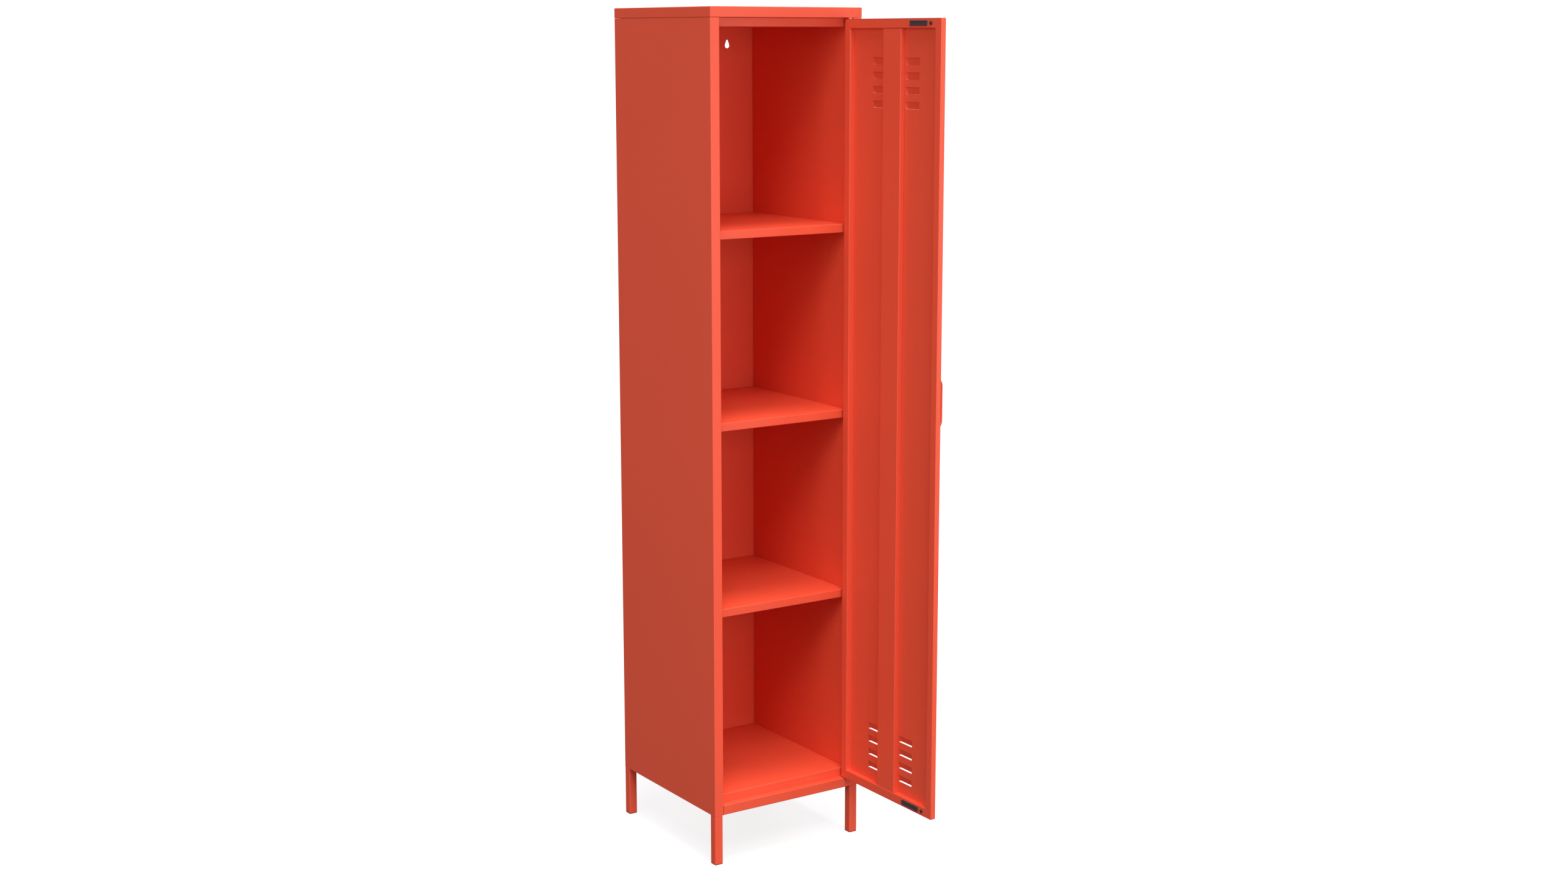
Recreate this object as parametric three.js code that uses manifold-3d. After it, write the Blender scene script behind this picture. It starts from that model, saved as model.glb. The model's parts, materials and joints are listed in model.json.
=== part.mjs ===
// Single school locker of folded sheet steel: a double-skinned cabinet on four square legs,
// three fixed shelves, and one inset door with pressed louvres, a bow handle and magnets.
// Millimetres, +Z up, the front faces -Y. The door stands open at a right angle.
// The origin is on the floor, under the middle of the locker with its door open.

import * as THREE from "three";
import { mergeVertices } from "three/addons/utils/BufferGeometryUtils.js";
import Module from "manifold-3d";

const wasm = await Module();
wasm.setup();

// Overall sizes of the cabinet, with the door closed.
const width = 380;
const depth = 400;
const height = 1850;

// Sheet and gaps.
const sheet = 0.8; // thickness of every folded sheet
const seam = 0.3; // gap between two sheets that are welded face to face
const boltFit = 0.25; // gap all round a bolt, screw or pin in its hole

// Cabinet.
const legHeight = 112;
const legSide = 20;
const legWall = 1.5;
const wall = 22; // thickness of a side wall, and width of the stile that closes its front
const railHeight = 22; // front rail under the opening
const capHeight = 22;
const flange = 18; // turned-in edge at the back of a side panel and under the cap
const capLap = 1; // how far the cap's turned-in front edge reaches behind the ceiling's lip
const deckRise = 19.5; // from the rail's top to the top of the deck
const lipDrop = 18.5; // front lip of a shelf and of the ceiling
const shelfFold = 15; // turned-down side and rear edges of a shelf
const shelfHem = 9; // turned-in edge under a shelf's lip
const lowestShelf = 572.5; // floor to the top of the lowest shelf
const shelfPitch = 408.5;
const shelfCount = 3;

// Keyholes in the back for hanging the cabinet on two wall screws.
const keyholeSpacing = 200;
const keyholeDrop = 59; // from the top of the back panel to the centre of the round part
const keyholeRadius = 6;
const keyholeSlot = 5; // width of the narrow part
const keyholeRise = 13; // from the centre of the round part to the end of the slot

// Door.
const doorThickness = 14;
const doorSideGap = 1.2;
const doorEndGap = 2;
const doorOpening = 90; // degrees, as it stands here
const strikeGap = 3; // from the closed door's inner face to the lips that its magnets pull on
const pivotInset = 4.5; // hinge line behind the door's front face and in from its edge
const doorCorner = 2.6; // outer radius of the skin's two upright front bends
const borderSide = 19; // flat border round the inner frame, at its sides
const borderEnd = 20; // and at its top and bottom
const ribWidth = 62; // stiffening rib down the middle
const ribStep = 0.8; // the rib's face lies this much below the border's
const ribFoot = 12; // turned-in edge by which the rib is welded to the skin

// Louvres, in two columns beside the rib.
const louvreWidth = 48;
const louvreHeight = 15;
const louvreDepth = 6; // how far a hood stands out
const louvreShoulder = 2.5; // height over which its top slopes out
const louvrePitch = 30;
const louvresPerGroup = 4;
const louvreRibGap = 2;
const louvreTopMargin = 79; // door's top to the top slot
const louvreBottomMargin = 46; // door's bottom to the bottom slot

// Hinges.
const pinRadius = 1.75;
const pinReach = 11; // how far a pin enters the door
const pinHeadHeight = 2;
const bushWall = 0.95;

// Handle and catches.
const handleCentre = 1037; // above the floor
const handleLength = 122;
const handleWidth = 14;
const handleReach = 22.5; // from the door's front face
const handleStrip = 5; // thickness of the bow
const handleBend = 26; // outer radius of its two ends
const handleInset = 30; // from the latch edge to its centre line
const handleFoot = 19; // solid foot at each end, which a screw enters
const screwRadius = 2;
const screwHeadRadius = 4;
const screwHeadHeight = 2.4;
const screwLength = 10;
const magnetLength = 57;
const magnetHeight = 10.5;
const magnetInset = 74; // from the latch edge to the magnet's centre
const bumperRadius = 4;
const bumperInset = 33;
const catchPlay = 0.4; // between a magnet and its lip, with the door closed

// Legs.
const legPlate = 3; // steel plate that closes a leg's top
const legBoltRadius = 3;
const legBoltHead = 5; // radius of the bolt's round head
const legBoltHeadHeight = 3;
const footRim = 2; // visible height of the plastic foot
const footPlug = 14; // height of the part inside the tube

const runnerSide = 14; // angle under each end of a shelf
const runnerThickness = 1.5;

// Sizes worked out from those above.
const bodyTop = height - capHeight;
const railTop = legHeight + railHeight;
const deckTop = railTop + deckRise;
const lipSetBack = doorThickness + strikeGap;
const half = width / 2;
const front = -depth / 2;
const back = depth / 2;
const innerWall = half - wall; // inner face of a side wall
const lipFace = front + lipSetBack;
const backFace = back - 2 * sheet - 2 * seam; // rear limit of what stands before the back panel
const clearHalf = innerWall - seam; // half width of what fits between the side walls
const clearDepth = backFace - lipFace;
const doorWidth = 2 * (innerWall - doorSideGap);
const doorBottom = railTop + doorEndGap;
const doorTop = bodyTop - doorEndGap;
const doorHeight = doorTop - doorBottom;
const pivotX = innerWall - doorSideGap - pivotInset;
const pivotY = front + pivotInset;
const doorFace = -pivotInset; // front face in the door's own frame, whose origin is the hinge line
const doorInner = doorFace + doorThickness;
const latchEdge = pivotInset - doorWidth;
const openReach = pivotY + pivotInset - doorWidth; // latch edge of the door when it stands open

// manifold-3d solid of a closed three.js geometry.
function solid(geometry) {
  const bare = geometry.index ? geometry.toNonIndexed() : geometry.clone();
  bare.deleteAttribute("normal");
  bare.deleteAttribute("uv");
  const merged = mergeVertices(bare, 1e-4);
  return new wasm.Manifold(
    new wasm.Mesh({
      numProp: 3,
      vertProperties: merged.attributes.position.array,
      triVerts: new Uint32Array(merged.index.array),
    }),
  );
}

function geometryOf(body) {
  const mesh = body.getMesh();
  return new THREE.BufferGeometry()
    .setAttribute("position", new THREE.BufferAttribute(mesh.vertProperties, 3))
    .setIndex(new THREE.BufferAttribute(mesh.triVerts, 1));
}

const join = (...bodies) => bodies.reduce((all, body) => all.add(body));
const cut = (body, ...tools) => tools.reduce((rest, tool) => rest.subtract(tool), body);

// Block between two limits on each axis.
function block([x0, x1], [y0, y1], [z0, z1]) {
  const box = new THREE.BoxGeometry(x1 - x0, y1 - y0, z1 - z0);
  return solid(box.translate((x0 + x1) / 2, (y0 + y1) / 2, (z0 + z1) / 2));
}

// Round bar along +Z, +X or +Y from a start point.
function bar(radius, length, [x, y, z], axis = "z") {
  const rod = new THREE.CylinderGeometry(radius, radius, length, 20);
  rod.translate(0, length / 2, 0);
  if (axis === "z") rod.rotateX(Math.PI / 2);
  if (axis === "x") rod.rotateZ(-Math.PI / 2);
  return solid(rod.translate(x, y, z));
}

// Prism of an outline in XY, from one height to another.
function upright(shape, [z0, z1]) {
  const geometry = new THREE.ExtrudeGeometry(shape, {
    depth: z1 - z0,
    bevelEnabled: false,
    curveSegments: 6,
  });
  return solid(geometry.translate(0, 0, z0));
}

// Prism of an outline whose first coordinate is Y and second is Z, from one X to another.
function crosswise(shape, [x0, x1]) {
  const geometry = new THREE.ExtrudeGeometry(shape, {
    depth: x1 - x0,
    bevelEnabled: false,
    curveSegments: 8,
  });
  geometry.rotateX(Math.PI / 2).rotateZ(Math.PI / 2);
  return solid(geometry.translate(x0, 0, 0));
}

// Outline of a sheet folded square: the outer line of its corners, thickened to its left.
function folded(corners) {
  const points = corners.map(([x, y]) => new THREE.Vector2(x, y));
  const legs = points.slice(1).map((point, i) => point.clone().sub(points[i]).normalize());
  const left = legs.map((leg) => new THREE.Vector2(-leg.y, leg.x));
  const inner = points.map((point, i) => {
    const offset = new THREE.Vector2();
    if (i > 0) offset.add(left[i - 1]);
    if (i < legs.length) offset.add(left[i]);
    return point.clone().addScaledVector(offset, sheet);
  });
  return new THREE.Shape([...points, ...inner.reverse()]);
}

// Rectangle from (x0, y0) to (x1, y1) whose two corners at y0 are rounded.
function roundedFront([x0, x1], [y0, y1], radius) {
  const shape = new THREE.Shape();
  shape.moveTo(x0, y1);
  shape.lineTo(x0, y0 + radius);
  shape.absarc(x0 + radius, y0 + radius, radius, Math.PI, 1.5 * Math.PI, false);
  shape.lineTo(x1 - radius, y0);
  shape.absarc(x1 - radius, y0 + radius, radius, 1.5 * Math.PI, 2 * Math.PI, false);
  shape.lineTo(x1, y1);
  shape.closePath();
  return shape;
}

const cabinet = new THREE.Group();
const door = new THREE.Group();

function finish(colour, roughness, metalness) {
  return () => new THREE.MeshStandardMaterial({ color: colour, roughness, metalness });
}

const paint = finish(0xe8553c, 0.45, 0.1);
const blackMagnet = finish(0x2b282d, 0.6, 0);
const blackRubber = finish(0x1c1b1d, 0.85, 0);
const whiteNylon = finish(0xd9d6cc, 0.5, 0);
const zincSteel = finish(0xb9bcc0, 0.35, 1);
const redPlastic = finish(0xa83a28, 0.6, 0);

function place(group, name, body, material) {
  const mesh = new THREE.Mesh(geometryOf(body), material());
  mesh.name = name;
  group.add(mesh);
  return mesh;
}

// Side panel of the +X side: skin, stile in front with its return, rear flange and foot plate.
function sidePanel() {
  const skin = folded([
    [half - flange, back],
    [half, back],
    [half, front],
    [innerWall, front],
    [innerWall, lipFace - seam],
  ].reverse());
  const footPlate = block(
    [innerWall, half],
    [front, back],
    [legHeight, legHeight + sheet],
  );
  const holes = [front + legSide / 2, back - legSide / 2].map((y) =>
    bar(legBoltRadius + boltFit, 3 * sheet, [half - legSide / 2, y, legHeight - sheet]),
  );
  return cut(join(upright(skin, [legHeight, bodyTop - seam]), footPlate), ...holes);
}

// Inner skin of the +X side wall, with its edges turned out to meet the side panel.
function sideLiner() {
  const outerEdge = half - sheet - seam;
  const skin = folded([
    [outerEdge, lipFace],
    [innerWall, lipFace],
    [innerWall, backFace],
    [outerEdge, backFace],
  ].reverse());
  return upright(skin, [legHeight + sheet + seam, bodyTop - seam]);
}

function keyholeOutline(x) {
  const z = bodyTop - keyholeDrop;
  const slotHalf = keyholeSlot / 2;
  const turn = Math.asin(slotHalf / keyholeRadius);
  const hole = new THREE.Path();
  hole.absarc(x, z, keyholeRadius, Math.PI / 2 + turn, 2.5 * Math.PI - turn, false);
  hole.absarc(x, z + keyholeRise - slotHalf, slotHalf, 0, Math.PI, false);
  hole.closePath();
  return hole;
}

function backPanel() {
  const edge = half - sheet - seam;
  const [bottom, top] = [legHeight + sheet + seam, bodyTop - seam];
  const plate = new THREE.Shape([
    new THREE.Vector2(-edge, bottom),
    new THREE.Vector2(edge, bottom),
    new THREE.Vector2(edge, top),
    new THREE.Vector2(-edge, top),
  ]);
  plate.holes = [-keyholeSpacing / 2, keyholeSpacing / 2].map(keyholeOutline);
  const geometry = new THREE.ExtrudeGeometry(plate, {
    depth: sheet,
    bevelEnabled: false,
    curveSegments: 10,
  });
  return solid(geometry.rotateX(Math.PI / 2).translate(0, back - sheet - seam, 0));
}

// Floor of the cabinet, folded up in front as the rail and back as the ledge under the deck.
function basePan() {
  const ledgeDepth = lipSetBack + flange / 2;
  const skin = folded([
    [front + ledgeDepth, railTop],
    [front, railTop],
    [front, legHeight],
    [backFace, legHeight],
    [backFace, railTop - seam],
  ]);
  const pinHole = bar(pinRadius + boltFit, 3 * sheet, [pivotX, pivotY, railTop - 2 * sheet]);
  return cut(crosswise(skin, [-clearHalf, clearHalf]), pinHole);
}

function deckPanel() {
  const skin = folded([
    [backFace, railTop + seam],
    [backFace, deckTop],
    [lipFace, deckTop],
    [lipFace, railTop + seam],
  ]);
  return crosswise(skin, [-clearHalf, clearHalf]);
}

// Ceiling: one plain plane inside, its front lip turned up to the cap.
function ceilingPanel() {
  const lipTop = bodyTop - seam;
  const skin = folded([
    [lipFace, lipTop],
    [lipFace, lipTop - lipDrop],
    [backFace, lipTop - lipDrop],
  ]);
  return crosswise(skin, [-clearHalf, clearHalf]);
}

// Lid: a shallow tray turned upside down, with its edge turned in to rest on the walls.
function topCap() {
  const shell = block([-half, half], [front, back], [bodyTop, height]);
  const hollow = block(
    [-half + sheet, half - sheet],
    [front + sheet, back - sheet],
    [bodyTop + sheet, height - sheet],
  );
  const mouth = block(
    [-half + flange, half - flange],
    [front + lipSetBack + capLap, back - flange],
    [bodyTop - sheet, bodyTop + 2 * sheet],
  );
  const pinHole = bar(pinRadius + boltFit, 3 * sheet, [pivotX, pivotY, bodyTop - sheet]);
  return cut(shell, hollow, mouth, pinHole);
}

// Shelf: lip and hem in front, shallow folds at the sides and the back, open below.
function shelf(top) {
  const slab = block([-clearHalf, clearHalf], [lipFace, backFace], [top - lipDrop, top]);
  const inside = [-clearHalf + sheet, clearHalf - sheet];
  const hollow = block(
    inside,
    [lipFace + sheet, backFace - sheet],
    [top - lipDrop + sheet, top - sheet],
  );
  const mouth = block(
    inside,
    [lipFace + shelfHem, backFace - sheet],
    [top - lipDrop - sheet, top - lipDrop + 2 * sheet],
  );
  const shortFolds = block(
    [-half, half],
    [lipFace + shelfHem, back],
    [top - lipDrop - sheet, top - shelfFold],
  );
  return cut(slab, hollow, mouth, shortFolds);
}

// Angle under the +X end of a shelf, inside the shelf's side fold.
function shelfRunner(top) {
  const lip = lipFace + shelfHem + seam;
  const outer = clearHalf - sheet - seam;
  const under = top - sheet - seam;
  const rear = backFace - sheet - seam;
  return join(
    block([outer - runnerThickness, outer], [lip, rear], [under - runnerSide, under]),
    block([outer - runnerSide, outer], [lip, rear], [under - runnerThickness, under]),
  );
}

// Square tube with a plate across its top for the bolt.
function leg(x, y) {
  const r = legSide / 2;
  const bore = r - legWall;
  const tube = block([x - r, x + r], [y - r, y + r], [footRim + seam, legHeight - seam]);
  const inside = block(
    [x - bore, x + bore],
    [y - bore, y + bore],
    [0, legHeight - seam - legPlate],
  );
  const boltHole = bar(legBoltRadius + boltFit, 2 * legPlate, [x, y, legHeight - 2 * legPlate]);
  return cut(tube, inside, boltHole);
}

function footPlugIn(x, y) {
  const r = legSide / 2;
  const bore = r - legWall - seam;
  return join(
    block([x - r, x + r], [y - r, y + r], [0, footRim]),
    block([x - bore, x + bore], [y - bore, y + bore], [footRim - sheet, footRim + footPlug]),
  );
}

// Bolt from inside the leg, up through its plate and the foot plate of the side panel.
function legBolt(x, y) {
  const plateUnder = legHeight - seam - legPlate;
  const headTop = plateUnder - seam;
  return join(
    bar(legBoltHead, legBoltHeadHeight, [x, y, headTop - legBoltHeadHeight]),
    bar(legBoltRadius, legPlate + 4 * sheet + 3 * seam, [x, y, headTop - sheet]),
  );
}

// Headed pin, drawn for the lower hinge: head below the ledge, shank up into the door.
function hingePin(ledge, direction) {
  const headRadius = pivotInset - sheet - seam;
  const shank = sheet + seam + doorEndGap + pinReach;
  const outline = [
    [0, 0],
    [headRadius, 0],
    [headRadius, pinHeadHeight],
    [pinRadius, pinHeadHeight],
    [pinRadius, pinHeadHeight + shank],
    [0, pinHeadHeight + shank],
  ].map(([r, z]) => new THREE.Vector2(r, z));
  const pin = new THREE.LatheGeometry(outline, 20).rotateX(Math.PI / 2);
  if (direction < 0) pin.rotateX(Math.PI);
  const start = ledge - direction * (sheet + seam + pinHeadHeight);
  return solid(pin.translate(pivotX, pivotY, start));
}

// Door skin: front sheet with its four edges folded back, the louvres pressed outwards.
function doorSkin() {
  const shell = upright(
    roundedFront([latchEdge, pivotInset], [doorFace, doorInner], doorCorner),
    [doorBottom, doorTop],
  );
  const hollow = upright(
    roundedFront(
      [latchEdge + sheet, pivotInset - sheet],
      [doorFace + sheet, doorInner + sheet],
      doorCorner - sheet,
    ),
    [doorBottom + sheet, doorTop - sheet],
  );
  const bushHoles = [doorBottom - sheet, doorTop - 2 * sheet].map((z) =>
    bar(pinRadius + boltFit + bushWall + boltFit, 3 * sheet, [0, 0, z]),
  );
  const screwHoles = handleScrewHeights().map((z) =>
    bar(screwRadius + boltFit, 3 * sheet, [handleLine, doorFace - sheet, z], "y"),
  );
  const body = cut(shell, hollow, ...bushHoles, ...screwHoles);
  const slots = louvrePlaces().map(([x, z]) => louvreSlot(x, z));
  const hoods = louvrePlaces().map(([x, z]) => louvreHood(x, z));
  return join(cut(body, ...slots), ...hoods);
}

// Left edge and top of each louvre, in the door's own frame.
function louvrePlaces() {
  const middle = (latchEdge + pivotInset) / 2;
  const offset = ribWidth / 2 + louvreRibGap;
  const columns = [middle - offset - louvreWidth, middle + offset];
  const topGroup = doorTop - louvreTopMargin;
  const bottomGroup = doorBottom + louvreBottomMargin + louvreHeight;
  const places = [];
  for (const x of columns)
    for (let i = 0; i < louvresPerGroup; i++)
      places.push([x, topGroup - i * louvrePitch], [x, bottomGroup + i * louvrePitch]);
  return places;
}

function louvreSlot(x, top) {
  return block(
    [x + sheet, x + louvreWidth - sheet],
    [doorFace - sheet, doorFace + 2 * sheet],
    [top - louvreHeight, top - sheet],
  );
}

// Hood over a slot: steep at its top and at its two cheeks, open at the bottom.
function louvreHood(x, top) {
  const bottom = top - louvreHeight;
  const shoulderDepth = 0.35 * louvreDepth;
  const profile = (inset) =>
    new THREE.Shape([
      new THREE.Vector2(doorFace + sheet / 2 + inset, top - inset),
      new THREE.Vector2(doorFace + sheet / 2 + inset, bottom - inset),
      new THREE.Vector2(doorFace - louvreDepth + inset, bottom - inset),
      new THREE.Vector2(doorFace - shoulderDepth + inset, top - louvreShoulder - inset),
      new THREE.Vector2(doorFace - sheet / 2 + inset, top - inset),
    ]);
  const outer = crosswise(profile(0), [x, x + louvreWidth]);
  const inner = crosswise(profile(sheet), [x + sheet, x + louvreWidth - sheet]);
  return cut(outer, inner);
}

// Inner frame: flat border whose inner edge is folded down to the skin all round.
function innerFrame() {
  const edge = sheet + seam;
  const plate = block(
    [latchEdge + edge, pivotInset - edge],
    [doorInner - sheet, doorInner],
    [doorBottom + edge, doorTop - edge],
  );
  const across = [latchEdge + borderSide, pivotInset - borderSide];
  const up = [doorBottom + borderEnd, doorTop - borderEnd];
  const grow = ([low, high]) => [low - sheet, high + sheet];
  const skirt = block(grow(across), [doorFace + sheet + seam, doorInner], grow(up));
  const opening = block(across, [doorFace, doorInner + sheet], up);
  return cut(join(plate, skirt), opening);
}

// Rib: channel from the top border to the bottom one, its feet turned in against the skin.
function doorRib() {
  const middle = (latchEdge + pivotInset) / 2;
  const face = doorInner - ribStep;
  const foot = doorFace + sheet + seam;
  const channel = folded([
    [middle - ribWidth / 2 + ribFoot, foot],
    [middle - ribWidth / 2, foot],
    [middle - ribWidth / 2, face],
    [middle + ribWidth / 2, face],
    [middle + ribWidth / 2, foot],
    [middle + ribWidth / 2 - ribFoot, foot],
  ].reverse());
  return upright(channel, [doorBottom + borderEnd + seam, doorTop - borderEnd - seam]);
}

// Flanged sleeve that carries the door on its pin, drawn for the bottom of the door.
function hingeBush(doorEnd, direction) {
  const bore = pinRadius + boltFit;
  const sleeve = bore + bushWall;
  const rim = pivotInset - seam;
  const rimHeight = doorEndGap - 2 * seam;
  const outline = [
    [bore, 0],
    [rim, 0],
    [rim, rimHeight],
    [sleeve, rimHeight],
    [sleeve, rimHeight + pinReach],
    [bore, rimHeight + pinReach],
    [bore, 0],
  ].map(([r, z]) => new THREE.Vector2(r, z));
  const bush = new THREE.LatheGeometry(outline, 20).rotateX(Math.PI / 2);
  if (direction < 0) bush.rotateX(Math.PI);
  return solid(bush.translate(0, 0, doorEnd - direction * (rimHeight + seam)));
}

const handleLine = latchEdge + handleInset;

function handleScrewHeights() {
  const reach = handleLength / 2 - handleFoot / 2;
  return [handleCentre - reach, handleCentre + reach];
}

// Bow handle: two solid feet on the door joined by a strip whose ends sweep round.
function bowHandle() {
  const base = doorFace - seam;
  const crown = doorFace - handleReach;
  const [low, high] = [handleCentre - handleLength / 2, handleCentre + handleLength / 2];
  const bow = new THREE.Shape();
  bow.moveTo(base, low);
  sweep(bow, base, crown, low, high, handleBend);
  bow.lineTo(base, high);
  bow.closePath();
  const grip = new THREE.Path();
  const inner = handleBend - handleStrip;
  grip.moveTo(base, low + handleFoot);
  sweep(grip, base, crown + handleStrip, low + handleFoot, high - handleFoot, inner / 2);
  grip.lineTo(base, high - handleFoot);
  const across = [handleLine - handleWidth / 2, handleLine + handleWidth / 2];
  const gap = new THREE.Shape([...grip.getPoints(8), new THREE.Vector2(base + sheet, high - handleFoot),
    new THREE.Vector2(base + sheet, low + handleFoot)]);
  const screwBores = handleScrewHeights().map((z) =>
    bar(screwRadius + boltFit, screwLength, [handleLine, doorFace - screwLength, z], "y"),
  );
  return cut(
    crosswise(bow, across),
    crosswise(gap, [across[0] - sheet, across[1] + sheet]),
    ...screwBores,
  );
}

// Line from (base, low) out to the crown and back to (base, high), round at both bends.
function sweep(path, base, crown, low, high, radius) {
  const rise = Math.abs(base - crown);
  const bend = Math.min(radius, rise, (high - low) / 2);
  path.lineTo(crown + bend, low);
  path.absarc(crown + bend, low + bend, bend, 1.5 * Math.PI, Math.PI, true);
  path.lineTo(crown, high - bend);
  path.absarc(crown + bend, high - bend, bend, Math.PI, 0.5 * Math.PI, true);
}

// Pan-head screw from inside the door into a foot of the handle.
function handleScrew(z) {
  const inside = doorFace + sheet + seam;
  return join(
    bar(screwHeadRadius, screwHeadHeight, [handleLine, inside, z], "y"),
    bar(screwRadius, screwLength, [handleLine, inside + sheet - screwLength, z], "y"),
  );
}

// Bar magnet on the middle of the border's height, at the latch side.
function magnet(z) {
  const x = latchEdge + magnetInset;
  const face = doorInner + strikeGap - catchPlay;
  return block(
    [x - magnetLength / 2, x + magnetLength / 2],
    [doorInner + seam, face],
    [z - magnetHeight / 2, z + magnetHeight / 2],
  );
}

function bumper(z) {
  const thickness = strikeGap - catchPlay - seam;
  return bar(bumperRadius, thickness, [latchEdge + bumperInset, doorInner + seam, z], "y");
}

const mirrored = (body) => body.mirror([1, 0, 0]);
const sides = { left: mirrored, right: (body) => body };

place(cabinet, "top_cap", topCap(), paint);
place(cabinet, "ceiling_panel", ceilingPanel(), paint);
place(cabinet, "back_panel", backPanel(), paint);
place(cabinet, "base_pan", basePan(), paint);
place(cabinet, "deck_panel", deckPanel(), paint);

for (const [side, facing] of Object.entries(sides)) {
  place(cabinet, side + "_side_panel", facing(sidePanel()), paint);
  place(cabinet, side + "_side_liner", facing(sideLiner()), paint);
}

for (let i = 0; i < shelfCount; i++) {
  const top = lowestShelf + i * shelfPitch;
  place(cabinet, "shelf_" + (i + 1), shelf(top), paint);
  for (const [side, facing] of Object.entries(sides))
    place(cabinet, "shelf_" + (i + 1) + "_runner_" + side, facing(shelfRunner(top)), paint);
}

const legInset = legSide / 2;
const corners = {
  front_left: [-half + legInset, front + legInset],
  front_right: [half - legInset, front + legInset],
  rear_left: [-half + legInset, back - legInset],
  rear_right: [half - legInset, back - legInset],
};
for (const [corner, [x, y]] of Object.entries(corners)) {
  place(cabinet, "leg_" + corner, leg(x, y), paint);
  place(cabinet, "foot_" + corner, footPlugIn(x, y), redPlastic);
  place(cabinet, "leg_bolt_" + corner, legBolt(x, y), zincSteel);
}

place(cabinet, "hinge_pin_lower", hingePin(railTop, 1), zincSteel);
place(cabinet, "hinge_pin_upper", hingePin(bodyTop, -1), zincSteel);

place(door, "door_skin", doorSkin(), paint);
place(door, "door_inner_frame", innerFrame(), paint);
place(door, "door_rib", doorRib(), paint);
place(door, "hinge_bush_lower", hingeBush(doorBottom, 1), whiteNylon);
place(door, "hinge_bush_upper", hingeBush(doorTop, -1), whiteNylon);
place(door, "handle", bowHandle(), paint);
const [screwLow, screwHigh] = handleScrewHeights();
place(door, "handle_screw_lower", handleScrew(screwLow), zincSteel);
place(door, "handle_screw_upper", handleScrew(screwHigh), zincSteel);
const catchHeights = { lower: doorBottom + borderEnd / 2, upper: doorTop - borderEnd / 2 };
for (const [end, z] of Object.entries(catchHeights)) {
  place(door, "magnet_" + end, magnet(z), blackMagnet);
  place(door, "bumper_" + end, bumper(z), blackRubber);
}

door.position.set(pivotX, pivotY, 0);
door.rotation.z = THREE.MathUtils.degToRad(doorOpening);

const locker = new THREE.Group();
locker.add(cabinet, door);
locker.position.y = -(openReach + back) / 2;

export default locker;
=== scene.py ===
"""Single school locker in coral powder coat, with its door standing open at a right angle.

Every folded sheet gets its real bend radii and thickness, the door its pressed louvres, and the
small parts their turned, moulded or cast shapes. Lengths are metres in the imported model's frame:
+Z up, the locker's front faces -Y and its hinges are on the +X side.
"""

import json
import math

import bmesh
import bpy
from bpy.props import FloatProperty, FloatVectorProperty, IntProperty, PointerProperty
from mathutils import Matrix, Vector
from mathutils.geometry import tessellate_polygon


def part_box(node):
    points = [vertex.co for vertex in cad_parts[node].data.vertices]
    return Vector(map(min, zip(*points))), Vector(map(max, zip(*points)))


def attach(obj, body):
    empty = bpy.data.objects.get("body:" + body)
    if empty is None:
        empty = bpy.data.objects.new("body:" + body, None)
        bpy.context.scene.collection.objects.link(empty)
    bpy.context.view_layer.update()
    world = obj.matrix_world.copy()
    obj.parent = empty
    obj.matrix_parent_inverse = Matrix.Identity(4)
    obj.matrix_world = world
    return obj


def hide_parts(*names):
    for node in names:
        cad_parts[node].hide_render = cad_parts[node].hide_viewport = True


bl_info = {
    "name": "School Locker",
    "version": (1, 0, 0),
    "blender": (4, 5, 0),
    "location": "View3D > Sidebar > Locker",
    "description": "Builds a folded-steel school locker around its packed frame",
    "category": "Add Mesh",
}

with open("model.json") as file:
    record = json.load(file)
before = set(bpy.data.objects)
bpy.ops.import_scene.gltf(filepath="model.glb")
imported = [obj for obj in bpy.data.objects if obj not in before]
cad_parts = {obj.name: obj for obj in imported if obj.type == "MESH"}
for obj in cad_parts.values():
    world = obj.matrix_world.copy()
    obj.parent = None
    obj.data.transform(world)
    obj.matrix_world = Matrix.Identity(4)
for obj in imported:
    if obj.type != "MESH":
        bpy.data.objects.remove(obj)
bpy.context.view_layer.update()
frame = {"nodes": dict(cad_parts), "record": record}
SIDES = ("left", "right")
ENDS = ("lower", "upper")
CORNERS = ("front_left", "front_right", "rear_left", "rear_right")
SHELVES = ("shelf_1", "shelf_2", "shelf_3")

# Thickness of the folded sheet, and the slit between two sheets that are welded face to face.
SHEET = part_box("back_panel")[1].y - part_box("back_panel")[0].y
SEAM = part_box("left_side_panel")[1].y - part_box("back_panel")[1].y

COAT = "coral_powder_coat"
MERGE = 1e-6  # points this close are one

# Planes that several pieces share.
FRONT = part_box("left_side_panel")[0].y
LIP_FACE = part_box("deck_panel")[0].y
DOOR_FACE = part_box("handle")[0].x - SEAM
DOOR_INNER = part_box("door_inner_frame")[0].x
HINGE_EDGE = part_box("door_skin")[1].y
LATCH_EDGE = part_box("door_skin")[0].y
DOOR_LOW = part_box("door_skin")[0].z
DOOR_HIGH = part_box("door_skin")[1].z


# ---------------------------------------------------------------- sizes and colours


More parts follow.
